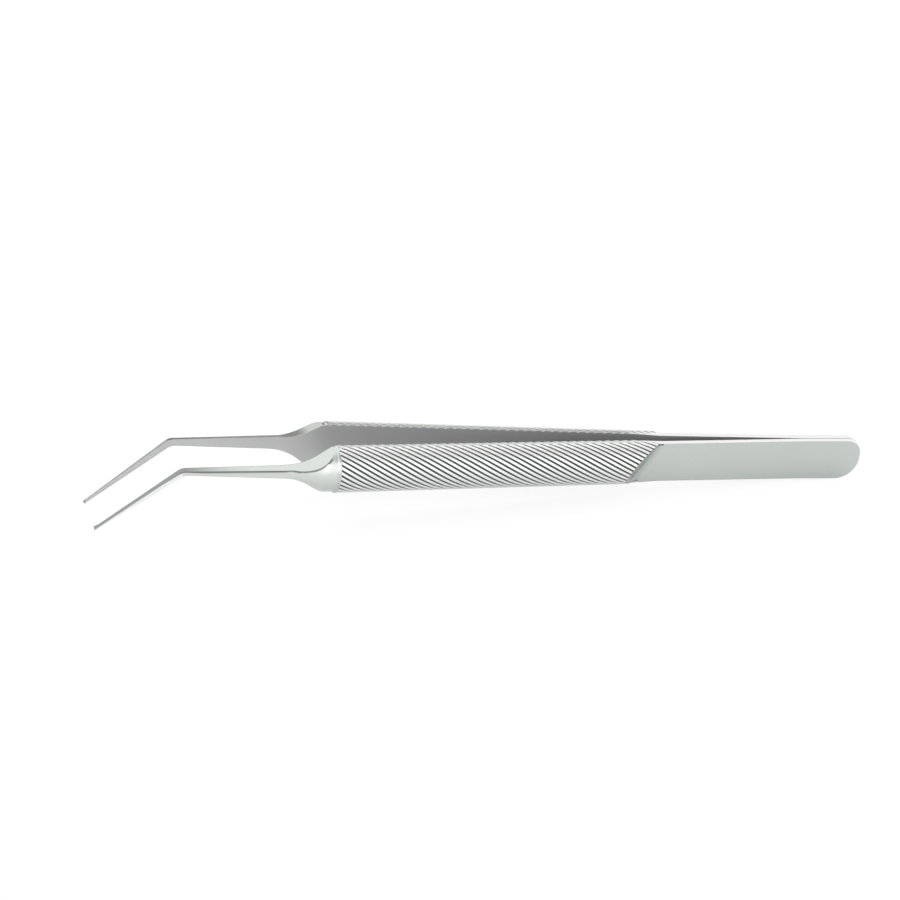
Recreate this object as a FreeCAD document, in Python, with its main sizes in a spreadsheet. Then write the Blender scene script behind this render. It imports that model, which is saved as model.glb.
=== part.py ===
"""Capsulorhexis forceps: two spring-steel arms welded together at the tail.

Every length is in millimetres. The model is drawn with the tail end at X = 0 and
the tips towards -X, with the inner faces on either side of the plane Y = 0 and
the jaws bent down towards -Z. At the end it is pitched so that both tips and the
tail's lower corner stand on the plane Z = 0.
"""
import FreeCAD, Part
import math
import os
import re
import Sketcher

os.makedirs("parts", exist_ok=True)

doc = FreeCAD.newDocument("CapsulorhexisForceps")

# Driving dimensions. Stations are measured from the tail end towards the tips.

SIZES = [
    ("overall_length", 103.95),
    ("weld_length", 8.0),
    ("leaf_station", 27.4),
    ("leaf_overlap", 1.0),
    ("flare_station", 31.8),
    ("handle_station", 72.75),
    ("shank_station", 74.6),
    ("spread_station", 79.5),
    ("jaw_length", 10.75),
    ("jaw_angle", 40.0),
    # Tail leaves and the weld between them
    ("tail_width", 5.7),
    ("tail_upper_corner", 1.8),
    ("tail_lower_corner", 3.2),
    ("leaf_thickness", 0.7),
    ("weld_thickness", 0.1),
    ("weld_margin", 0.35),
    # Half-round serrated handle and the skewed ramp behind it
    ("handle_rear_radius", 3.1),
    ("handle_front_radius", 3.38),
    ("ramp_station", 29.6),
    ("ramp_angle", 48.0),
    ("ramp_skew", 30.0),
    ("ramp_blend", 2.4),
    ("core_radius", 2.8),
    ("serration_pitch", 1.2),
    ("serration_lead", 5.6),
    ("serration_width", 0.66),
    ("serration_depth", 0.17),
    ("serration_sink", 0.01),
    ("ring_chamfer", 0.3),
    ("ring_width", 0.2),
    # Turned shoulder in front of the handle
    ("collar_radius", 3.2),
    ("collar_length", 1.3),
    ("collar_blend", 2.5),
    ("nose_length", 8.2),
    ("nose_radius", 0.9),
    ("shoulder_upper_start", 0.1),
    ("shoulder_upper_radius", 3.18),
    ("shoulder_upper_station", 76.3),
    ("shoulder_upper_blend", 7.0),
    ("shoulder_lower_start", 1.3),
    ("shoulder_lower_radius", 3.38),
    ("shoulder_lower_station", 77.1),
    ("shoulder_lower_blend", 6.5),
    ("side_draft", 14.0),
    # Shank and jaw
    ("shank_width", 1.86),
    ("shank_thickness", 1.05),
    ("bend_width", 1.0),
    ("bend_thickness", 0.7),
    ("bend_upper_blend", 1.6),
    ("bend_lower_blend", 1.6),
    ("tip_width", 0.27),
    ("tip_thickness", 0.32),
    ("tooth_length", 0.28),
    ("tooth_root", 0.5),
    # Half of the space between the two inner faces
    ("leaf_gap", 0.71),
    ("handle_gap", 2.75),
    ("shank_gap", 3.6),
    ("spread_blend", 14.0),
    ("bend_gap", 3.72),
    ("tip_gap", 3.35),
    # How far the trimming outlines run past the part
    ("run_out", 1.0),
]

sheet = doc.addObject("Spreadsheet::Sheet", "Sizes")
for row, (alias, value) in enumerate(SIZES, start=1):
    sheet.set(f"A{row}", alias)
    sheet.set(f"B{row}", str(value))
    sheet.setAlias(f"B{row}", alias)
doc.recompute()

# Helpers

SHARP = None
UPRIGHT = FreeCAD.Rotation(FreeCAD.Vector(1, 0, 0), 90)
FLAT = FreeCAD.Rotation()


def value_of(expression):
    """The present value of an expression in the sheet's names."""
    return float(sheet.evalExpression(expression))


def bound(expression):
    """The same expression with each name pointed at the sheet."""
    return re.sub(r"[a-z]+_[a-z_]+", lambda match: "Sizes." + match.group(0), expression)


def outline(name, rotation, corners):
    """A closed sketch whose corners are (across, up, blend radius) expressions.

    Each corner is a construction point held by two bound coordinates. The sides
    run through those points, and a blended corner carries a tangent arc.
    """
    sketch = doc.addObject("Sketcher::SketchObject", name)
    sketch.Placement = FreeCAD.Placement(FreeCAD.Vector(), rotation)
    points = [FreeCAD.Vector(value_of(x), value_of(y), 0) for x, y, _ in corners]
    count = len(points)
    trims = []
    for index, (_, _, blend) in enumerate(corners):
        before = points[index - 1] - points[index]
        after = points[(index + 1) % count] - points[index]
        half_angle = before.getAngle(after) / 2
        trims.append(0 if blend is SHARP else value_of(blend) / math.tan(half_angle))
    sides = []
    for index in range(count):
        start = points[index]
        end = points[(index + 1) % count]
        along = (end - start).normalize()
        first = start + along * trims[index]
        last = end - along * trims[(index + 1) % count]
        sides.append(sketch.addGeometry(Part.LineSegment(first, last), False))
    for index, (x, y, blend) in enumerate(corners):
        before = sides[index - 1]
        after = sides[index]
        mark = sketch.addGeometry(Part.Point(points[index]), True)
        for kind, expression in (("DistanceX", x), ("DistanceY", y)):
            distance = Sketcher.Constraint(kind, -1, 1, mark, 1, value_of(expression))
            number = sketch.addConstraint(distance)
            sketch.setExpression(f"Constraints[{number}]", bound(expression))
        if blend is SHARP:
            sketch.addConstraint(Sketcher.Constraint("Coincident", before, 2, mark, 1))
            sketch.addConstraint(Sketcher.Constraint("Coincident", after, 1, mark, 1))
            continue
        sketch.addConstraint(Sketcher.Constraint("PointOnObject", mark, 1, before))
        sketch.addConstraint(Sketcher.Constraint("PointOnObject", mark, 1, after))
        start = sketch.getPoint(before, 2)
        end = sketch.getPoint(after, 1)
        bow = points[index] - (start + end) / 2
        reach = (points[index] - start).Length
        rise = value_of(blend) * (math.hypot(1, reach / value_of(blend)) - 1)
        middle = points[index] - bow.normalize() * rise
        arc = sketch.addGeometry(Part.Arc(start, middle, end), False)
        flipped = sketch.getPoint(arc, 1).distanceToPoint(start) > 1e-6
        first, last = (2, 1) if flipped else (1, 2)
        sketch.addConstraint(Sketcher.Constraint("Tangent", before, 2, arc, first))
        sketch.addConstraint(Sketcher.Constraint("Tangent", after, 1, arc, last))
        number = sketch.addConstraint(Sketcher.Constraint("Radius", arc, value_of(blend)))
        sketch.setExpression(f"Constraints[{number}]", bound(blend))
    return sketch


def extrusion(name, sketch, direction, forward, backward):
    """A solid drawn from a sketch both ways along a direction."""
    solid = doc.addObject("Part::Extrusion", name)
    solid.Base = sketch
    solid.DirMode = "Custom"
    solid.Dir = FreeCAD.Vector(*direction)
    solid.Solid = True
    solid.setExpression("LengthFwd", bound(forward))
    solid.setExpression("LengthRev", bound(backward))
    sketch.Visibility = False
    return solid


def common(name, base, tool):
    """The space that two solids share."""
    solid = doc.addObject("Part::Common", name)
    solid.Base = base
    solid.Tool = tool
    solid.Refine = True
    return solid


def cut(name, base, tool):
    """The first solid with the second taken away."""
    solid = doc.addObject("Part::Cut", name)
    solid.Base = base
    solid.Tool = tool
    solid.Refine = True
    return solid


# Turned half-round: the handle's core, then ring, chamfer, collar and nose

handle_length = "sqrt((handle_station - leaf_station)^2 + (handle_gap - leaf_gap)^2)"
turned_outline = outline("TurnedOutline", FLAT, [
    (handle_length, "0", SHARP),
    (handle_length, "core_radius", SHARP),
    ("ring_chamfer + ring_width", "core_radius", SHARP),
    ("ring_chamfer + ring_width", "handle_front_radius", SHARP),
    ("ring_chamfer", "handle_front_radius", SHARP),
    ("0", "collar_radius", SHARP),
    ("-collar_length", "collar_radius", "collar_blend"),
    ("-nose_length", "nose_radius", SHARP),
    ("-nose_length", "0", SHARP),
])
turned = doc.addObject("Part::Revolution", "Turned")
turned.Source = turned_outline
turned.Axis = FreeCAD.Vector(1, 0, 0)
turned.Base = FreeCAD.Vector(0, 0, 0)
turned.Angle = 180
turned.Symmetric = True
turned.Solid = True
handle_slope = math.degrees(math.atan(
    value_of("(handle_gap - leaf_gap) / (handle_station - leaf_station)")))
handle_frame = FreeCAD.Placement(
    FreeCAD.Vector(-value_of("handle_station"), value_of("handle_gap"), 0),
    FreeCAD.Rotation(FreeCAD.Vector(0, 0, 1), -handle_slope))
turned.Placement = handle_frame

# Skewed ramp behind the handle: its foot runs on with the leaf's outer face

ramp_foot = ("leaf_gap + leaf_thickness + (ramp_station - leaf_station)"
             " * (handle_gap - leaf_gap) / (handle_station - leaf_station)")
ramp_outline = outline("RampOutline", FLAT, [
    ("-ramp_station", ramp_foot, "ramp_blend"),
    ("-ramp_station - handle_front_radius * 2 / tan(ramp_angle)",
     ramp_foot + " + handle_front_radius * 2", SHARP),
    ("tail_width", ramp_foot + " + handle_front_radius * 2", SHARP),
    ("tail_width", ramp_foot + " - (ramp_station + tail_width)"
     " * (handle_gap - leaf_gap) / (handle_station - leaf_station)", SHARP),
])
skew = math.tan(math.radians(value_of("ramp_skew")))
ramp = extrusion(
    "Ramp", ramp_outline,
    (skew, -skew * math.tan(math.radians(handle_slope)), 1),
    "tail_width", "tail_width")
core = cut("Core", turned, ramp)

# Tail leaf: a strip that runs on under the ramp

leaf_slope = "(handle_gap - leaf_gap) / (handle_station - leaf_station)"
leaf_outline = outline("LeafOutline", FLAT, [
    ("0", "weld_thickness / 2", SHARP),
    ("0", "weld_thickness / 2 + leaf_thickness", SHARP),
    ("-weld_length", "weld_thickness / 2 + leaf_thickness", SHARP),
    ("-leaf_station", "leaf_gap + leaf_thickness", SHARP),
    ("-leaf_station - leaf_overlap",
     "leaf_gap + leaf_thickness + leaf_overlap * " + leaf_slope, SHARP),
    ("-leaf_station - leaf_overlap", "leaf_gap + leaf_overlap * " + leaf_slope, SHARP),
    ("-leaf_station", "leaf_gap", SHARP),
    ("-weld_length", "weld_thickness / 2", SHARP),
])
leaf = extrusion("Leaf", leaf_outline, (0, 0, 1), "handle_rear_radius", "handle_rear_radius")

# Shank and jaw: a strip whose outer face thins towards the tip

shank_outline = outline("ShankOutline", FLAT, [
    ("-shank_station", "handle_gap", SHARP),
    ("-shank_station", "shank_gap + shank_thickness", SHARP),
    ("-spread_station", "shank_gap + shank_thickness", SHARP),
    ("-overall_length + jaw_length", "bend_gap + bend_thickness", SHARP),
    ("-overall_length - run_out", "tip_gap + tip_thickness", SHARP),
    ("-overall_length - run_out", "handle_gap", SHARP),
])
shank = extrusion("Shank", shank_outline, (0, 0, 1), "handle_front_radius", "overall_length / 5")

blank = doc.addObject("Part::MultiFuse", "Blank")
blank.Shapes = [core, leaf, shank]
blank.Refine = True

# Tail plan: rounded end, then flaring to the handle's full width

tail_plan = outline("TailPlan", UPRIGHT, [
    ("0", "tail_width / 2", "tail_upper_corner"),
    ("0", "-tail_width / 2", "tail_lower_corner"),
    ("-leaf_station", "-tail_width / 2", SHARP),
    ("-flare_station", "-handle_rear_radius", SHARP),
    ("-overall_length", "-overall_length / 2", SHARP),
    ("-overall_length * 1.1", "handle_front_radius * 2", SHARP),
    ("-flare_station", "handle_rear_radius", SHARP),
    ("-leaf_station", "tail_width / 2", SHARP),
])
tail_trim = extrusion("TailTrim", tail_plan, (0, 1, 0), "handle_front_radius * 3", "weld_thickness")
tailed = common("Tailed", blank, tail_trim)

# Shoulder, shank and jaw plan: drafted sides, wider at the inner face

tip_drop = "jaw_length * tan(jaw_angle)"


def side_plan(name, side, edge):
    """The region on the inner side of the upper (+) or lower (-) edge."""
    half = side + "1 / 2"
    shoulder = f"shoulder_{edge}"
    offset = f"({half}) * tip_width"
    return outline(name, UPRIGHT, [
        ("tail_width", f"{side}(handle_front_radius + run_out)", SHARP),
        ("-handle_station", f"{side}(handle_front_radius + run_out)", SHARP),
        ("-handle_station", f"{side}{shoulder}_radius", SHARP),
        (f"-handle_station - {shoulder}_start", f"{side}{shoulder}_radius", SHARP),
        (f"-{shoulder}_station", f"{side}shank_width / 2", f"{shoulder}_blend"),
        (f"-overall_length + jaw_length - ({half}) * bend_width * tan(jaw_angle / 2)",
         f"({half}) * bend_width", f"bend_{edge}_blend"),
        (f"-overall_length - {offset} * sin(jaw_angle)",
         f"-{tip_drop} + {offset} * cos(jaw_angle)", SHARP),
        (f"-overall_length + ({side}overall_length / 5) * sin(jaw_angle)",
         f"-{tip_drop} - ({side}overall_length / 5) * cos(jaw_angle)", SHARP),
        ("tail_width", f"-({side}overall_length / 5) * 2", SHARP),
    ])


draft = math.radians(value_of("side_draft"))
upper_plan = side_plan("UpperPlan", "+", "upper")
lower_plan = side_plan("LowerPlan", "-", "lower")
for plan in (upper_plan, lower_plan):
    plan.Placement = FreeCAD.Placement(FreeCAD.Vector(0, value_of("shank_gap"), 0), UPRIGHT)
upper_trim = extrusion(
    "UpperTrim", upper_plan, (0, math.cos(draft), -math.sin(draft)),
    "handle_front_radius * 2", "shank_gap * 1.2")
lower_trim = extrusion(
    "LowerTrim", lower_plan, (0, math.cos(draft), math.sin(draft)),
    "handle_front_radius * 2", "shank_gap * 1.2")
trimmed = common("Trimmed", common("UpperTrimmed", tailed, upper_trim), lower_trim)

# Inner face of shoulder, shank and jaw, with the tooth left at the very tip

relief_outline = outline("ReliefOutline", FLAT, [
    ("-handle_station", "-shank_gap", SHARP),
    ("-handle_station", "handle_gap", SHARP),
    ("-spread_station", "shank_gap", "spread_blend"),
    ("-overall_length + jaw_length", "bend_gap", SHARP),
    ("-overall_length + tooth_root", "tip_gap", SHARP),
    ("-overall_length", "tip_gap - tooth_length", SHARP),
    ("-overall_length - run_out", "tip_gap - tooth_length", SHARP),
    ("-overall_length - run_out", "-shank_gap", SHARP),
])
relief = extrusion("Relief", relief_outline, (0, 0, 1), "overall_length / 5", "overall_length / 5")
right_blank = cut("RightBlank", trimmed, relief)
left_blank = doc.addObject("Part::Mirroring", "LeftBlank")
left_blank.Source = right_blank
left_blank.Base = FreeCAD.Vector(0, 0, 0)
left_blank.Normal = FreeCAD.Vector(0, 1, 0)

# Serration: V-grooves on one helix round the handle, split by the two flats

OVERTURN = 0.2
SECTIONS = 7


def serrated_section(turn, start, grooves):
    """The handle's axial profile at one angle, advanced along the helix."""
    lead = value_of("serration_lead")
    pitch = value_of("serration_pitch")
    half_width = value_of("serration_width / 2")
    depth = value_of("serration_depth")
    front = value_of("handle_front_radius - serration_sink")
    taper = value_of("(handle_front_radius - handle_rear_radius) / " + handle_length)
    outward = FreeCAD.Vector(0, math.sin(turn), -math.cos(turn))

    def point(along, drop):
        station = along + lead * turn
        return FreeCAD.Vector(station, 0, 0) + outward * (front - taper * station - drop)

    end = start + pitch * grooves
    profile = [point(start, front / 2), point(start, 0)]
    for number in range(grooves):
        centre = start + pitch * (number + 0.5)
        profile.append(point(centre - half_width, 0))
        profile.append(point(centre, depth))
        profile.append(point(centre + half_width, 0))
    profile.append(point(end, 0))
    profile.append(point(end, front / 2))
    return Part.makePolygon(profile + profile[:1])


def serrated_sleeve():
    """A sleeve longer than the handle, lofted along the helix past both flats."""
    pitch = value_of("serration_pitch")
    start = -value_of("serration_lead") * (math.pi + OVERTURN) - pitch
    grooves = math.ceil((value_of(handle_length) - start) / pitch) + 2
    sweep = math.pi + 2 * OVERTURN
    turns = [sweep * number / (SECTIONS - 1) - OVERTURN for number in range(SECTIONS)]
    return Part.makeLoft([serrated_section(turn, start, grooves) for turn in turns], True)


half_turn = FreeCAD.Placement(
    FreeCAD.Vector(), FreeCAD.Rotation(FreeCAD.Vector(1, 0, 0), 180))
right_thread = doc.addObject("Part::Feature", "RightThread")
right_thread.Shape = serrated_sleeve()
right_thread.Placement = handle_frame
left_thread = doc.addObject("Part::Feature", "LeftThread")
left_thread.Shape = serrated_sleeve()
left_thread.Placement = half_turn * handle_frame

# Space that the serrated sleeve may fill: behind the ring, outside the two flats

sleeve_outline = outline("SleeveOutline", FLAT, [
    (handle_length, "0", SHARP),
    (handle_length, "handle_front_radius + run_out", SHARP),
    ("ring_chamfer", "handle_front_radius + run_out", SHARP),
    ("ring_chamfer", "0", SHARP),
])
sleeve_space = doc.addObject("Part::Revolution", "SleeveSpace")
sleeve_space.Source = sleeve_outline
sleeve_space.Axis = FreeCAD.Vector(1, 0, 0)
sleeve_space.Base = FreeCAD.Vector(0, 0, 0)
sleeve_space.Angle = 180
sleeve_space.Symmetric = True
sleeve_space.Solid = True
sleeve_space.Placement = handle_frame
right_space = common("RightSpace", cut("RampedSpace", sleeve_space, ramp), tail_trim)
left_space = doc.addObject("Part::Mirroring", "LeftSpace")
left_space.Source = right_space
left_space.Base = FreeCAD.Vector(0, 0, 0)
left_space.Normal = FreeCAD.Vector(0, 1, 0)
right_sleeve = common("RightSleeve", right_thread, right_space)
left_sleeve = common("LeftSleeve", left_thread, left_space)

# Weld seam that joins the two tails

weld_plan = outline("WeldPlan", UPRIGHT, [
    ("-weld_margin", "tail_width / 2 - weld_margin", "tail_upper_corner - weld_margin"),
    ("-weld_margin", "weld_margin - tail_width / 2", "tail_lower_corner - weld_margin"),
    ("-weld_length", "weld_margin - tail_width / 2", SHARP),
    ("-weld_length", "tail_width / 2 - weld_margin", SHARP),
])
tail_weld = extrusion(
    "TailWeld", weld_plan, (0, 1, 0), "weld_thickness / 2", "weld_thickness / 2")
tail_weld.Label = "tail_weld"

# Rest pose: pitched about Y until the tips and the tail's lower corner are level

tip = FreeCAD.Vector(
    value_of("-overall_length + tip_width / 2 * sin(jaw_angle)"), 0,
    value_of(f"-{tip_drop} - tip_width / 2 * cos(jaw_angle)"))
corner = FreeCAD.Vector(
    value_of("-tail_lower_corner"), 0, value_of("tail_lower_corner - tail_width / 2"))
span = corner - tip
rise = math.atan2(span.z, span.x) - math.asin(value_of("tail_lower_corner") / span.Length)
pitched = FreeCAD.Rotation(FreeCAD.Vector(0, 1, 0), math.degrees(rise))
doc.recompute()
rested = right_blank.Shape.copy()
rested.Placement = FreeCAD.Placement(FreeCAD.Vector(), pitched)
box = rested.optimalBoundingBox(False)
rest = FreeCAD.Placement(
    FreeCAD.Vector(-(box.XMin + box.XMax) / 2, 0, -box.ZMin), pitched)

# Arms: each is one piece from its tip to the welded tail

right_arm = doc.addObject("Part::MultiFuse", "RightArm")
right_arm.Shapes = [right_blank, right_sleeve]
right_arm.Label = "right_arm"
left_arm = doc.addObject("Part::MultiFuse", "LeftArm")
left_arm.Shapes = [left_blank, left_sleeve]
left_arm.Label = "left_arm"
NODES = [left_arm, right_arm, tail_weld]
for node in NODES:
    node.Placement = rest
doc.recompute()

# Check and export

for item in doc.Objects:
    if "Invalid" in item.State or "Error" in item.State:
        raise RuntimeError(f"{item.Name} did not rebuild")
for node in NODES:
    if node.Shape.isNull() or not node.Shape.isValid():
        raise RuntimeError(f"{node.Label} has no valid solid")
    node.Shape.exportStep(f"parts/{node.Label}.step")
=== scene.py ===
import logging
import math
from dataclasses import dataclass, field
from enum import Enum

import bmesh
import bpy
from mathutils import Matrix, Vector


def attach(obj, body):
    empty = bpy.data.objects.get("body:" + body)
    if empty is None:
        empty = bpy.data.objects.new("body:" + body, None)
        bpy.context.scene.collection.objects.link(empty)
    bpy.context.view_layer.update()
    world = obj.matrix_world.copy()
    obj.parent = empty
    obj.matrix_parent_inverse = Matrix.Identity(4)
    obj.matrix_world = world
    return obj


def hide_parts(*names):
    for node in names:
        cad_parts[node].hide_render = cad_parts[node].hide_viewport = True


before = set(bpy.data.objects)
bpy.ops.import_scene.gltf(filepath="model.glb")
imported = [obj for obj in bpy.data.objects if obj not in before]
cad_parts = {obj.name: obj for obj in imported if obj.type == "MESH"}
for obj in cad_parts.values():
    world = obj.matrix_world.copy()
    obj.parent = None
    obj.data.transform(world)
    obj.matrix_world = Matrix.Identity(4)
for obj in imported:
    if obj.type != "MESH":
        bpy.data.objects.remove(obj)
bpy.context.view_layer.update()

LOG = logging.getLogger("capsulorhexis_forceps")
MM = 0.001

Colour = tuple[float, float, float]
Place = tuple[float, float, float]
Span = tuple[float, float]


class Side(Enum):
    """Which arm of the forceps: the value is its direction in Y."""

    LEFT = -1
    RIGHT = 1


class ReadOut(Enum):
    """What a grain group puts out."""

    TONE = "Tone"
    ROUGHNESS = "Roughness"
    HEIGHT = "Height"


class Mark(Enum):
    """What an arm's mesh says of its finish, its painted highlight and its painted shade."""

    # painted shade: darkens the serration's grooves and the jaw's upper side
    GROOVE = "groove"
    # painted reflection: a dark line along the upper outer edge of the shank and jaw
    EDGE = "edge"
    MATT = "matt"
    # polish and painted highlight: the lands are partly polished, partly painted bright; the
    # leaf's rims, the jaw's outer side and the outer faces ahead of the handle get painted
    # highlight
    BRIGHT = "bright"


def share_of(value: float, least: float = 0.0) -> float:
    """Keeps a share between its least value and one."""
    return min(1.0, max(least, value))


# Frames


@dataclass(frozen=True)
class RestPose:
    """How the forceps lie on their surface, out of the straight drawing frame."""

    pitch_deg: float = 3.56278
    forward: float = 52.16055 * MM
    lift: float = 2.67937 * MM

    def matrix(self) -> Matrix:
        """Turns and lifts a point from the drawing frame to where the forceps lie."""
        turn = Matrix.Rotation(math.radians(self.pitch_deg), 4, "Y")
        return Matrix.Translation((self.forward, 0, self.lift)) @ turn


@dataclass(frozen=True)
class Stations:
    """Where the stretches of an arm start in the drawing frame, the tail's end at zero."""

    jaw: float = -92.6 * MM
    spread: float = -80.0 * MM
    shoulder: float = -74.6 * MM
    collar: float = -73.5 * MM
    handle: float = -72.75 * MM
    leaf: float = -31.8 * MM


@dataclass(frozen=True)
class HandleFrame:
    """The cone of one half-round handle, on which the serration is cut."""

    side: Side
    half_gap: float = 2.75 * MM
    splay_deg: float = 2.57563
    front_radius: float = 3.38 * MM
    rear_radius: float = 3.1 * MM
    length: float = 45.4 * MM

    def matrix(self, pose: RestPose) -> Matrix:
        """Gives the handle's own frame, x along it towards the tail.

        Args:
            pose: how the forceps lie.

        Returns:
            The matrix from the handle's frame to the resting forceps.
        """
        sign = self.side.value
        start = Matrix.Translation((Stations().handle, sign * self.half_gap, 0))
        splay = Matrix.Rotation(math.radians(-sign * self.splay_deg), 4, "Z")
        return pose.matrix() @ start @ splay

    def depth(self, point: Vector) -> float:
        """Says how far a point lies below the handle's cone, in metres.

        Args:
            point: a point in the handle's frame.

        Returns:
            The depth below the cone, or zero off the handle.
        """
        share = point.x / self.length
        if not 0 < share < 1:
            return 0.0
        radius = self.front_radius + share * (self.rear_radius - self.front_radius)
        return max(0.0, radius - math.hypot(point.y, point.z))


# Nodes


def new_group(
    name: str, inputs: dict[str, float], outputs: dict[str, str]
) -> bpy.types.NodeTree:
    """Starts a shader group with named number inputs.

    Args:
        name: the group's name.
        inputs: each input and its default.
        outputs: each output and its socket type.

    Returns:
        The group, with its input and output nodes named "in" and "out".
    """
    group = bpy.data.node_groups.new(name, "ShaderNodeTree")
    for label, default in inputs.items():
        socket = group.interface.new_socket(
            name=label, in_out="INPUT", socket_type="NodeSocketFloat"
        )
        socket.default_value = default
    for label, kind in outputs.items():
        group.interface.new_socket(name=label, in_out="OUTPUT", socket_type=kind)
    group.nodes.new("NodeGroupInput").name = "in"
    group.nodes.new("NodeGroupOutput").name = "out"
    return group


def math_node(tree: bpy.types.NodeTree, operation: str, *values: float) -> bpy.types.Node:
    """Adds a Math node.

    Args:
        tree: the node tree.
        operation: the Math operation.
        values: the values of its inputs, in order.

    Returns:
        The node.
    """
    node = tree.nodes.new("ShaderNodeMath")
    node.operation = operation
    for index, value in enumerate(values):
        node.inputs[index].default_value = value
    return node


def combined(
    tree: bpy.types.NodeTree,
    operation: str,
    first: bpy.types.NodeSocket,
    second: bpy.types.NodeSocket,
) -> bpy.types.NodeSocket:
    """Joins two values by a Math node.

    Args:
        tree: the node tree.
        operation: the Math operation.
        first: the first value.
        second: the second value.

    Returns:
        The socket with the outcome.
    """
    node = math_node(tree, operation)
    tree.links.new(first, node.inputs[0])
    tree.links.new(second, node.inputs[1])
    return node.outputs["Value"]


def ranged(
    tree: bpy.types.NodeTree,
    value: bpy.types.NodeSocket,
    given: Span,
    wanted: Span = (0.0, 1.0),
    smooth: bool = True,
) -> bpy.types.NodeSocket:
    """Maps a value from one range to another.

    Args:
        tree: the node tree.
        value: the value.
        given: the range that it comes in.
        wanted: the range that it is mapped to.
        smooth: whether it eases in and out.

    Returns:
        The socket with the mapped value.
    """
    node = tree.nodes.new("ShaderNodeMapRange")
    if smooth:
        node.interpolation_type = "SMOOTHSTEP"
    labels = ("From Min", "From Max", "To Min", "To Max")
    for label, number in zip(labels, (*given, *wanted)):
        node.inputs[label].default_value = number
    tree.links.new(value, node.inputs["Value"])
    return node.outputs["Result"]


def blended(
    tree: bpy.types.NodeTree,
    share: bpy.types.NodeSocket,
    start: bpy.types.NodeSocket,
    end: Colour | float,
) -> bpy.types.NodeSocket:
    """Blends a value towards a fixed colour or number.

    Args:
        tree: the node tree.
        share: how far it is blended.
        start: the value at a share of zero.
        end: the colour or number at a share of one.

    Returns:
        The socket with the blend.
    """
    colour = isinstance(end, tuple)
    node = tree.nodes.new("ShaderNodeMix")
    node.data_type = "RGBA" if colour else "FLOAT"
    node.inputs["B"].default_value = (*end, 1) if colour else end
    tree.links.new(share, node.inputs["Factor"])
    tree.links.new(start, node.inputs["A"])
    return node.outputs["Result"]


def mark_read(tree: bpy.types.NodeTree, mark: Mark) -> bpy.types.NodeSocket:
    """Reads a mark off the mesh."""
    node = tree.nodes.new("ShaderNodeAttribute")
    node.attribute_name = mark.value
    return node.outputs["Fac"]


def noise(
    tree: bpy.types.NodeTree,
    place: bpy.types.NodeSocket,
    scale: bpy.types.NodeSocket,
    detail: float,
    roughness: float,
) -> bpy.types.NodeSocket:
    """Adds a noise.

    Args:
        tree: the node tree.
        place: where it is read.
        scale: its scale.
        detail: how many finer layers it has.
        roughness: how strong the finer layers are.

    Returns:
        The socket with the noise.
    """
    node = tree.nodes.new("ShaderNodeTexNoise")
    node.inputs["Detail"].default_value = detail
    node.inputs["Roughness"].default_value = roughness
    tree.links.new(place, node.inputs["Vector"])
    tree.links.new(scale, node.inputs["Scale"])
    return node.outputs["Fac"]


# Finishes


@dataclass(frozen=True)
class SatinGrain:
    """The fine grain and faint smudges that all the steel shares."""

    grain_scale: float = 6500.0
    grain_detail: float = 3.0
    grain_roughness: float = 0.6
    stretch: Place = (0.22, 1.0, 1.0)
    smudge_scale: float = 110.0
    smudge_detail: float = 4.0
    smudge_roughness: float = 0.55
    smudge_share: float = 0.5

    def group(self) -> bpy.types.NodeTree:
        """Builds the shader group.

        Returns:
            The group, which puts out a tone, a roughness share and a height.
        """
        group = new_group(
            "satin_grain",
            {
                "Grain Scale": self.grain_scale,
                "Smudge Scale": self.smudge_scale,
                "Smudge Share": self.smudge_share,
            },
            {read.value: "NodeSocketFloat" for read in ReadOut},
        )
        nodes, links = group.nodes, group.links
        given, out = nodes["in"].outputs, nodes["out"].inputs
        place = nodes.new("ShaderNodeTexCoord").outputs["Object"]
        brushed = nodes.new("ShaderNodeMapping")
        brushed.inputs["Scale"].default_value = self.stretch
        links.new(place, brushed.inputs["Vector"])
        grain = noise(
            group,
            brushed.outputs["Vector"],
            given["Grain Scale"],
            self.grain_detail,
            self.grain_roughness,
        )
        smudge = noise(
            group, place, given["Smudge Scale"], self.smudge_detail, self.smudge_roughness
        )
        both = nodes.new("ShaderNodeMix")
        both.data_type = "FLOAT"
        links.new(given["Smudge Share"], both.inputs["Factor"])
        links.new(grain, both.inputs["A"])
        links.new(smudge, both.inputs["B"])
        links.new(smudge, out[ReadOut.TONE.value])
        links.new(both.outputs["Result"], out[ReadOut.ROUGHNESS.value])
        links.new(grain, out[ReadOut.HEIGHT.value])
        return group


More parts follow.
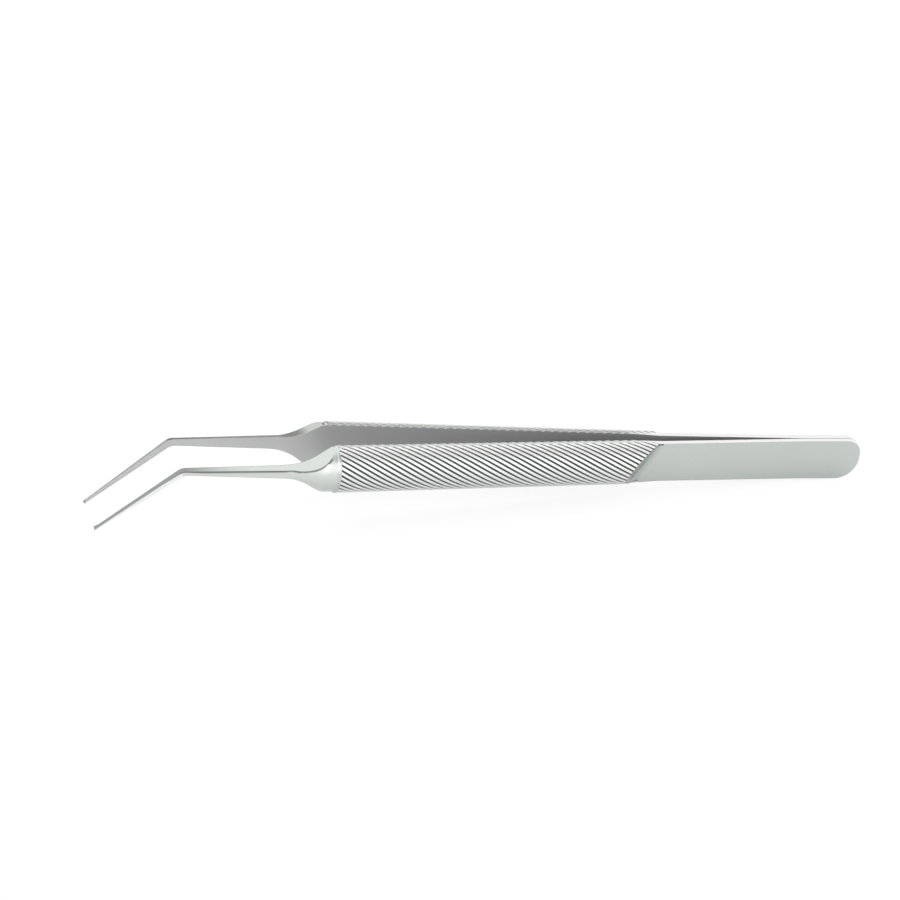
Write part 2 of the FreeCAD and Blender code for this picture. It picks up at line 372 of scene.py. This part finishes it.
@dataclass(frozen=True)
class SatinSteel:
    """Stainless steel with a fine satin finish, and painted shade in its grooves.

    A field that ends in _range says between which values of the grain, or of a mark,
    its effect goes from nothing to full.
    """

    name: str
    light: Colour = (0.632, 0.67, 0.64)
    dark: Colour = (0.615, 0.652, 0.622)
    tone_range: Span = (0.35, 0.65)
    inner: Colour = (0.6, 0.6, 0.605)
    # colour of the polish and painted highlight, far brighter than the plain steel
    polish_highlight: Colour = (0.92, 0.925, 0.92)
    # colour of all the painted shade: grooves, jaw top and the dark line along the upper outer
    # edge
    groove: Colour = (0.10, 0.10, 0.105)
    groove_range: Span = (0.1, 0.55)
    # the painted dark reflection along the upper outer edge: where it starts and how dark it
    # gets
    edge_range: Span = (0.68, 0.92)
    edge_shade: float = 0.85
    roughness: Span = (0.2, 0.28)
    roughness_range: Span = (0.3, 0.7)
    land_roughness: float = 0.42
    matt_roughness: float = 0.5
    edge_radius: float = 0.12 * MM
    edge_samples: int = 6
    grain_height: float = 0.0015 * MM
    grain_strength: float = 0.35
    grain_scale: float = 14000.0

    def material(self, grain: bpy.types.NodeTree) -> bpy.types.Material:
        """Builds the steel's material.

        Args:
            grain: the shared satin grain group.

        Returns:
            The material.
        """
        made = bpy.data.materials.new(self.name)
        made.use_nodes = True
        tree = made.node_tree
        shader = tree.nodes["Principled BSDF"]
        shader.inputs["Metallic"].default_value = 1.0
        texture = tree.nodes.new("ShaderNodeGroup")
        texture.node_tree = grain
        texture.inputs["Grain Scale"].default_value = self.grain_scale
        marks = {mark: mark_read(tree, mark) for mark in Mark}
        tone = texture.outputs[ReadOut.TONE.value]
        rough = texture.outputs[ReadOut.ROUGHNESS.value]
        height = texture.outputs[ReadOut.HEIGHT.value]
        tree.links.new(self.colour(tree, tone, marks), shader.inputs["Base Color"])
        tree.links.new(self.gloss(tree, rough, marks), shader.inputs["Roughness"])
        tree.links.new(self.surface(tree, height), shader.inputs["Normal"])
        return made

    def colour(
        self,
        tree: bpy.types.NodeTree,
        tone: bpy.types.NodeSocket,
        marks: dict[Mark, bpy.types.NodeSocket],
    ) -> bpy.types.NodeSocket:
        """Colours the steel: greyer inside, bright on the lands by polish and painted
        highlight, and dark in the grooves and along the upper outer edge by painted shade.

        Args:
            tree: the material's node tree.
            tone: the grain's tone.
            marks: the marks read off the mesh.

        Returns:
            The socket with the colour.
        """
        ramp = tree.nodes.new("ShaderNodeValToRGB")
        stops = zip(ramp.color_ramp.elements, self.tone_range, (self.dark, self.light))
        for stop, position, colour in stops:
            stop.position = position
            stop.color = (*colour, 1)
        tree.links.new(tone, ramp.inputs["Fac"])
        plain = blended(tree, marks[Mark.MATT], ramp.outputs["Color"], self.inner)
        # polish and painted highlight on the lands, rims and outer faces
        worked = blended(tree, marks[Mark.BRIGHT], plain, self.polish_highlight)
        # painted shade in the grooves and on the jaw's upper side
        shade_share = ranged(tree, marks[Mark.GROOVE], self.groove_range)
        # painted dark reflection along the upper outer edge
        line = ranged(tree, marks[Mark.EDGE], self.edge_range, (0.0, self.edge_shade))
        return blended(tree, combined(tree, "MAXIMUM", shade_share, line), worked, self.groove)

    def gloss(
        self,
        tree: bpy.types.NodeTree,
        rough: bpy.types.NodeSocket,
        marks: dict[Mark, bpy.types.NodeSocket],
    ) -> bpy.types.NodeSocket:
        """Sets the roughness: duller on the lands and on the inner side.

        Args:
            tree: the material's node tree.
            rough: the grain's roughness share.
            marks: the marks read off the mesh.

        Returns:
            The socket with the roughness.
        """
        satin = ranged(tree, rough, self.roughness_range, self.roughness, smooth=False)
        worked = blended(tree, marks[Mark.BRIGHT], satin, self.land_roughness)
        return blended(tree, marks[Mark.MATT], worked, self.matt_roughness)

    def surface(
        self, tree: bpy.types.NodeTree, height: bpy.types.NodeSocket
    ) -> bpy.types.NodeSocket:
        """Softens the edges and raises the grain.

        Args:
            tree: the material's node tree.
            height: the grain's height.

        Returns:
            The socket with the normal.
        """
        edge = tree.nodes.new("ShaderNodeBevel")
        edge.samples = self.edge_samples
        edge.inputs["Radius"].default_value = self.edge_radius
        bump = tree.nodes.new("ShaderNodeBump")
        bump.inputs["Strength"].default_value = self.grain_strength
        bump.inputs["Distance"].default_value = self.grain_height
        tree.links.new(height, bump.inputs["Height"])
        tree.links.new(edge.outputs["Normal"], bump.inputs["Normal"])
        return bump.outputs["Normal"]


ARM_STEEL = SatinSteel("arm_satin_steel")
WELD_STEEL = SatinSteel(
    "weld_steel",
    light=(0.22, 0.22, 0.225),
    dark=(0.16, 0.16, 0.165),
    roughness=(0.4, 0.55),
)


# Pieces


def link(made: bpy.types.Object) -> bpy.types.Object:
    """Adds an object to the scene."""
    bpy.context.scene.collection.objects.link(made)
    return made


def give_steel(mesh: bpy.types.Mesh, steel: bpy.types.Material) -> None:
    """Leaves a mesh with one steel."""
    mesh.materials.clear()
    mesh.materials.append(steel)


def turn_of(edge: bmesh.types.BMEdge) -> float:
    """Gives the angle between an edge's two faces, in radians."""
    return edge.calc_face_angle(0.0) if len(edge.link_faces) == 2 else 0.0


@dataclass
class ArmFinish:
    """Where one arm is serrated and matt, where it is polished or given painted highlight, and
    where painted shade falls on it.

    A facing is one part of a face's normal: along the arm, away from the other arm or
    up. A field that ends in _facing is the limit that such a part is held against.
    """

    side: Side
    pose: RestPose = RestPose()
    stations: Stations = Stations()
    groove_depth: float = 0.17 * MM
    ring_end: float = 0.5 * MM
    rim_from: float = 40.5 * MM
    # the painted shade in the grooves fades out by the rim and underneath; the rim also dims
    # the painted highlight on the lands
    rim_fade: Span = (0.15 * MM, 0.6 * MM)
    under_fade: Span = (-1.5 * MM, -2.8 * MM)
    under_least: float = 0.45
    land_least: float = 0.3
    # the lands by the rim get less painted highlight, which paints shade there
    rim_highlight_dimming: float = 0.1
    end_facing: float = 0.5
    cut_facing: float = -0.7
    ramp_facing: float = 0.99
    matt_facing: float = -0.9
    leaf_rim_facing: float = 0.5
    jaw_facing: float = 0.8
    upper_facing: float = 0.5
    front_facing: float = 0.4
    # painted highlight on the outer faces ahead of the handle
    front_painted_highlight: float = 0.3
    # strength of the painted shade on the upper side of the jaw
    jaw_shade: float = 0.36
    line_deg: float = 6.0
    line_height: float = 1.3 * MM
    facet_facing: Span = (0.0726, 0.484)

    def __post_init__(self) -> None:
        """Works out the ways back from the resting arm to its drawing and its handle."""
        self.handle = HandleFrame(self.side)
        self.to_drawing = self.pose.matrix().inverted()
        self.to_handle = self.handle.matrix(self.pose).inverted()

    def mark(self, steel: bmesh.types.BMesh) -> None:
        """Writes the finish, the painted highlight and the painted shade on the arm's faces and
        their corners.

        Args:
            steel: the arm's mesh.
        """
        # per corner: painted shade and the painted dark line; per face: matt inner side, and
        # polish with painted highlight
        groove = steel.loops.layers.float.new(Mark.GROOVE.value)
        matt = steel.faces.layers.float.new(Mark.MATT.value)
        edge = steel.loops.layers.float.new(Mark.EDGE.value)
        bright = steel.faces.layers.float.new(Mark.BRIGHT.value)
        for face in steel.faces:
            inward = self.facing(face, self.to_handle).y < self.matt_facing
            upper = self.facing(face, self.to_drawing).z > self.upper_facing
            serrated = self.is_serrated(face)
            face[matt] = 1.0 if inward else 0.0
            face[bright] = self.brightness(face, serrated)
            for loop in face.loops:
                # painted shade in the grooves, and on upper faces also painted shade towards
                # the jaw
                cut = self.groove_painted_shade(self.to_handle @ loop.vert.co) if serrated else 0.0
                loop[groove] = max(cut, self.jaw_shading(loop.vert)) if upper else cut
                loop[edge] = self.painted_line_nearness(face, loop.vert)

    def facing(self, face: bmesh.types.BMFace, inverse: Matrix) -> Vector:
        """Gives a face's normal.

        Args:
            face: the face.
            inverse: the matrix into the frame that the normal is wanted in.

        Returns:
            The normal in that frame, with y away from the other arm.
        """
        normal = inverse.to_3x3() @ face.normal
        normal.y *= self.side.value
        return normal

    def is_serrated(self, face: bmesh.types.BMFace) -> bool:
        """Says if a face belongs to the serration.

        Args:
            face: the face.

        Returns:
            True on the round, serrated side of the handle.
        """
        middle = self.to_handle @ face.calc_center_median()
        if not self.ring_end < middle.x < self.handle.length:
            return False
        facing = self.facing(face, self.to_handle)
        if abs(facing.x) > self.end_facing or facing.y < self.cut_facing:
            return False
        if middle.x > self.rim_from and abs(facing.z) > self.ramp_facing:
            return False
        return self.handle.depth(middle) < 2 * self.groove_depth

    def is_highlit(self, face: bmesh.types.BMFace) -> bool:
        """Says if a face is a rim of the leaf or the outer side of the jaw, which gets painted
        highlight.

        Args:
            face: the face.

        Returns:
            True on a face with painted highlight.
        """
        along = (self.to_drawing @ face.calc_center_median()).x
        outward = self.facing(face, self.to_drawing).y
        if along > self.stations.leaf:
            return abs(outward) < self.leaf_rim_facing
        return along < self.stations.jaw and outward > self.jaw_facing

    def brightness(self, face: bmesh.types.BMFace, serrated: bool) -> float:
        """Says how much polish and painted highlight a face gets.

        Args:
            face: the face.
            serrated: whether it lies on the serration of the handle.

        Returns:
            Zero for satin steel, one for full polish and painted highlight.
        """
        middle = face.calc_center_median()
        if serrated:
            height = (self.to_handle @ middle).y * self.side.value
            # lands: polish with painted highlight, dimmed towards the rim as painted shade
            return share_of(height / self.rim_fade[1] - self.rim_highlight_dimming, self.land_least)
        if self.is_highlit(face):
            return 1.0
        outward = self.facing(face, self.to_drawing).y
        ahead = (self.to_drawing @ middle).x < self.stations.handle
        return self.front_painted_highlight if ahead and outward > self.front_facing else 0.0

    def groove_painted_shade(self, point: Vector) -> float:
        """Says how much painted shade a point gets for its depth below the cone, less so by the
        rim and underneath.

        Args:
            point: a point in the handle's frame.

        Returns:
            One at the full depth of the cut, zero on the cone.
        """
        near, far = self.rim_fade
        rim = share_of((point.y * self.side.value - near) / (far - near))
        start, end = self.under_fade
        under = share_of((point.z - start) / (end - start))
        fade = rim * (1 - under * (1 - self.under_least))
        return fade * min(1.0, self.handle.depth(point) / self.groove_depth)

    def jaw_shading(self, vert: bmesh.types.BMVert) -> float:
        """Paints shade on the upper side, evenly stronger from the spread of the shank to the
        jaw.
        """
        along = (self.to_drawing @ vert.co).x
        start, end = self.stations.spread, self.stations.jaw
        return self.jaw_shade * share_of((along - start) / (end - start))

    def painted_line_nearness(self, face: bmesh.types.BMFace, vert: bmesh.types.BMVert) -> float:
        """Says how near a corner is to the upper outer edge of the shank and jaw, where a dark
        reflection is painted.

        Args:
            face: the face that the corner belongs to.
            vert: its vertex.

        Returns:
            One on that edge, less beside it, zero far from it.
        """
        if not self.is_outer(face):
            return 0.0
        if self.is_on_line(vert):
            return 1.0
        if (self.to_drawing @ vert.co).x < self.stations.spread:
            return 0.0
        distances = (
            (other.co - vert.co).length
            for beside in vert.link_faces
            for other in beside.verts
            if self.is_on_line(other)
        )
        return max(0.0, 1 - min(distances, default=self.line_height) / self.line_height)

    def is_on_line(self, vert: bmesh.types.BMVert) -> bool:
        """Says if a vertex lies on the upper outer edge, up to the collar.

        Args:
            vert: the vertex.

        Returns:
            True where the drafted upper facet meets the outer side.
        """
        return (self.to_drawing @ vert.co).x < self.stations.collar and any(
            turn_of(edge) > math.radians(self.line_deg)
            and any(self.is_upper_facet(face) for face in edge.link_faces)
            and any(self.is_outer(face) for face in edge.link_faces)
            for edge in vert.link_edges
        )

    def is_outer(self, face: bmesh.types.BMFace) -> bool:
        """Tells the outer side of the shank from its drafted facets."""
        return self.facing(face, self.to_drawing).y > self.facet_facing[1]

    def is_upper_facet(self, face: bmesh.types.BMFace) -> bool:
        """Tells the drafted upper facet of the shank, which leans a little outwards."""
        facing = self.facing(face, self.to_drawing)
        least, most = self.facet_facing
        return least < facing.y < most and facing.z > self.upper_facing


@dataclass
class ForcepsArm:
    """One arm from its pointed jaw to its flat tail."""

    side: Side
    pose: RestPose = RestPose()
    stations: Stations = Stations()
    merge: float = 0.002 * MM
    level_deg: float = 0.4
    crease_deg: float = 28.0
    tip: Span = (-103.95 * MM, -9.0203 * MM)
    tip_angle_deg: float = 40.0
    tip_length: float = 0.6 * MM
    tip_share: float = 0.4
    shoulder_radius: float = 3.035 * MM
    shoulder_reach: float = 0.01 * MM

    @property
    def node(self) -> str:
        """Names the arm's node in the frame."""
        return "left_arm" if self.side is Side.LEFT else "right_arm"

    def build(self, steel: bpy.types.Material) -> bpy.types.Object:
        """Makes the arm's smooth steel body.

        Args:
            steel: the arm's material.

        Returns:
            The arm's object.
        """
        shape = bmesh.new()
        shape.from_mesh(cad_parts[self.node].data)
        bmesh.ops.remove_doubles(shape, verts=shape.verts, dist=self.merge)
        self.level_flats(shape)
        self.sharpen_tip(shape)
        self.trim_shoulder(shape)
        ArmFinish(self.side, self.pose, self.stations).mark(shape)
        for face in shape.faces:
            face.smooth = True
        for edge in shape.edges:
            edge.smooth = turn_of(edge) < math.radians(self.crease_deg)
        mesh = bpy.data.meshes.new(self.node + "_steel")
        shape.to_mesh(mesh)
        shape.free()
        give_steel(mesh, steel)
        made = link(bpy.data.objects.new(self.node + "_steel", mesh))
        even = made.modifiers.new("even_faces", "WEIGHTED_NORMAL")
        even.keep_sharp = True
        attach(made, self.node)
        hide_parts(self.node)
        return made

    def level_flats(self, shape: bmesh.types.BMesh) -> None:
        """Joins the small faces of each flat into one face.

        Args:
            shape: the arm's mesh.
        """
        bmesh.ops.dissolve_limit(
            shape,
            angle_limit=math.radians(self.level_deg),
            use_dissolve_boundaries=False,
            verts=shape.verts,
            edges=shape.edges,
        )

    def sharpen_tip(self, shape: bmesh.types.BMesh) -> None:
        """Narrows the last bit of the jaw, so that it ends in a fine point.

        Args:
            shape: the arm's mesh.
        """
        pose = self.pose.matrix()
        inverse = pose.inverted()
        angle = math.radians(self.tip_angle_deg)
        along = Vector((math.cos(angle), 0, math.sin(angle)))
        across = Vector((-math.sin(angle), 0, math.cos(angle)))
        end = Vector((self.tip[0], 0, self.tip[1]))
        for vert in shape.verts:
            point = inverse @ vert.co
            run = (point - end).dot(along)
            if point.x > self.stations.jaw or run > self.tip_length:
                continue
            share = self.tip_share + (1 - self.tip_share) * max(0.0, run) / self.tip_length
            point += across * (point - end).dot(across) * (share - 1)
            vert.co = pose @ point

    def trim_shoulder(self, shape: bmesh.types.BMesh) -> None:
        """Brings the corners where the shank starts back onto the shoulder's cone.

        Args:
            shape: the arm's mesh.
        """
        pose = self.pose.matrix()
        inverse = pose.inverted()
        half_gap = HandleFrame(self.side).half_gap
        for vert in shape.verts:
            point = inverse @ vert.co
            if abs(point.x - self.stations.shoulder) > self.shoulder_reach:
                continue
            off = abs(point.y) - half_gap
            limit = math.sqrt(max(0.0, self.shoulder_radius**2 - off**2))
            if abs(point.z) > limit:
                point.z = math.copysign(limit, point.z)
                vert.co = pose @ point


@dataclass
class TailWeld:
    """The seam that joins the two tails."""

    node: str = "tail_weld"

    def build(self, steel: bpy.types.Material) -> bpy.types.Object:
        """Gives the seam its steel.

        Args:
            steel: the seam's material.

        Returns:
            The seam's own node.
        """
        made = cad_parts[self.node]
        give_steel(made.data, steel)
        return made


# Studio


@dataclass(frozen=True)
class SkyPatch:
    """A darker part of the studio, round one direction."""

    direction: Place
    inner_deg: float
    outer_deg: float
    level: float


@dataclass(frozen=True)
class SoftLamp:
    """A soft rectangular lamp, its power in watts."""

    name: str
    place: Place
    aim: Place
    size: Span
    power: float

    def build(self) -> bpy.types.Object:
        """Hangs the lamp.

        Returns:
            The lamp.
        """
        data = bpy.data.lights.new(self.name, "AREA")
        data.shape = "RECTANGLE"
        data.size, data.size_y = self.size
        data.energy = self.power
        made = link(bpy.data.objects.new(self.name, data))
        made.location = self.place
        gaze = Vector(self.aim) - Vector(self.place)
        made.rotation_euler = gaze.to_track_quat("-Z", "Y").to_euler()
        return made


@dataclass
class Studio:
    """The plain pale floor, soft light and camera."""

    centre: Vector = field(default_factory=lambda: Vector((0, 0, 5 * MM)))
    azimuth_deg: float = 15.002
    elevation_deg: float = 30.278
    roll_deg: float = 4.553
    pixels_per_mm: float = 7.5663
    distance: float = 3.33
    seen_at: Span = (476.22, 462.86)
    frame_pixels: float = 900.0
    sensor_mm: float = 36.0
    sight: float = 20.0
    floor_reach: float = 2.0
    floor_colour: Colour = (0.9, 0.9, 0.9)
    floor_glow: float = 1.1
    floor_whiteness: float = 0.72
    sky: float = 1.16
    patches: tuple[SkyPatch, ...] = (
        SkyPatch((-0.05, -0.3, 0.954), 18.0, 33.0, 0.18),
        SkyPatch((0.2, 0.976, 0.09), 13.0, 22.0, 0.2),
    )
    key: SoftLamp = SoftLamp("key_front", (-0.25, -0.75, 0.5), (0, 0, 0), (1.1, 0.7), 1.3)

    def camera(self) -> bpy.types.Object:
        """Places the camera as in the picture.

        Returns:
            The camera.
        """
        side = math.radians(self.azimuth_deg)
        rise = math.radians(self.elevation_deg)
        roll = math.radians(self.roll_deg)
        ahead = math.cos(rise)
        gaze = Vector((math.sin(side) * ahead, math.cos(side) * ahead, -math.sin(rise)))
        level = Vector((math.cos(side), -math.sin(side), 0))
        upright = level.cross(gaze)
        across = level * math.cos(roll) + upright * math.sin(roll)
        above = upright * math.cos(roll) - level * math.sin(roll)
        middle = self.frame_pixels / 2
        per_pixel = MM / self.pixels_per_mm
        aim = self.centre + across * (middle - self.seen_at[0]) * per_pixel
        aim = aim + above * (self.seen_at[1] - middle) * per_pixel
        data = bpy.data.cameras.new("camera")
        data.sensor_width = self.sensor_mm
        data.lens = self.pixels_per_mm / MM * self.sensor_mm * self.distance / self.frame_pixels
        data.clip_end = self.sight
        made = link(bpy.data.objects.new("camera", data))
        turn = Matrix((across, above, -gaze)).transposed().to_4x4()
        made.matrix_world = Matrix.Translation(aim - gaze * self.distance) @ turn
        bpy.context.scene.camera = made
        return made

    def floor(self) -> bpy.types.Object:
        """Lays the pale floor, white to the camera and darker only in the shadow.

        Returns:
            The floor.
        """
        plate = bmesh.new()
        bmesh.ops.create_grid(plate, x_segments=1, y_segments=1, size=self.floor_reach)
        mesh = bpy.data.meshes.new("floor")
        plate.to_mesh(mesh)
        plate.free()
        made = link(bpy.data.objects.new("floor", mesh))
        mesh.materials.append(self.floor_white())
        return made

    def floor_white(self) -> bpy.types.Material:
        """Builds the floor's white, part of which glows to the camera alone.

        Returns:
            The material.
        """
        pale = bpy.data.materials.new("floor_white")
        pale.use_nodes = True
        nodes, links = pale.node_tree.nodes, pale.node_tree.links
        matt = nodes["Principled BSDF"]
        matt.inputs["Base Color"].default_value = (*self.floor_colour, 1)
        matt.inputs["Roughness"].default_value = 1.0
        matt.inputs["Specular IOR Level"].default_value = 0.0
        glow = nodes.new("ShaderNodeEmission")
        glow.inputs["Strength"].default_value = self.floor_glow
        path = nodes.new("ShaderNodeLightPath")
        seen = math_node(pale.node_tree, "MULTIPLY", 0.0, self.floor_whiteness)
        links.new(path.outputs["Is Camera Ray"], seen.inputs[0])
        mix = nodes.new("ShaderNodeMixShader")
        links.new(seen.outputs["Value"], mix.inputs["Fac"])
        links.new(matt.outputs["BSDF"], mix.inputs[1])
        links.new(glow.outputs["Emission"], mix.inputs[2])
        links.new(mix.outputs["Shader"], nodes["Material Output"].inputs["Surface"])
        return pale

    def world(self) -> None:
        """Lights the scene softly from all round, and shows the camera plain white."""
        sky = bpy.data.worlds.new("studio")
        sky.use_nodes = True
        tree = sky.node_tree
        place = tree.nodes.new("ShaderNodeTexCoord").outputs["Generated"]
        bright = math_node(tree, "MULTIPLY", 0.0, self.sky)
        first, *others = (self.patch_level(tree, place, patch) for patch in self.patches)
        level = first
        for other in others:
            level = combined(tree, "MULTIPLY", level, other)
        tree.links.new(level, bright.inputs[0])
        seen = tree.nodes.new("ShaderNodeLightPath").outputs["Is Camera Ray"]
        shown = blended(tree, seen, bright.outputs["Value"], (1.0, 1.0, 1.0))
        tree.links.new(shown, tree.nodes["Background"].inputs["Color"])
        bpy.context.scene.world = sky

    def patch_level(
        self, tree: bpy.types.NodeTree, place: bpy.types.NodeSocket, patch: SkyPatch
    ) -> bpy.types.NodeSocket:
        """Darkens the sky round one direction.

        Args:
            tree: the world's node tree.
            place: the direction looked at.
            patch: the darker patch.

        Returns:
            The socket with the sky's share of light.
        """
        toward = tree.nodes.new("ShaderNodeVectorMath")
        toward.operation = "DOT_PRODUCT"
        toward.inputs[1].default_value = Vector(patch.direction).normalized()
        tree.links.new(place, toward.inputs[0])
        angles = (patch.outer_deg, patch.inner_deg)
        limits = tuple(math.cos(math.radians(angle)) for angle in angles)
        return ranged(tree, toward.outputs["Value"], limits, (1.0, patch.level))

    def build(self) -> None:
        """Sets up the whole studio."""
        self.camera()
        self.floor()
        self.world()
        self.key.build()


def main() -> None:
    """Builds the forceps and the studio."""
    logging.basicConfig(level=logging.INFO, format="%(message)s")
    bpy.context.scene.view_settings.view_transform = "Standard"
    Studio().build()
    grain = SatinGrain().group()
    arm_steel = ARM_STEEL.material(grain)
    weld_steel = WELD_STEEL.material(grain)
    pieces = [ForcepsArm(side).build(arm_steel) for side in Side]
    pieces.append(TailWeld().build(weld_steel))
    for piece in pieces:
        LOG.info("%s: %d faces", piece.name, len(piece.data.polygons))


if __name__ == "__main__":
    main()
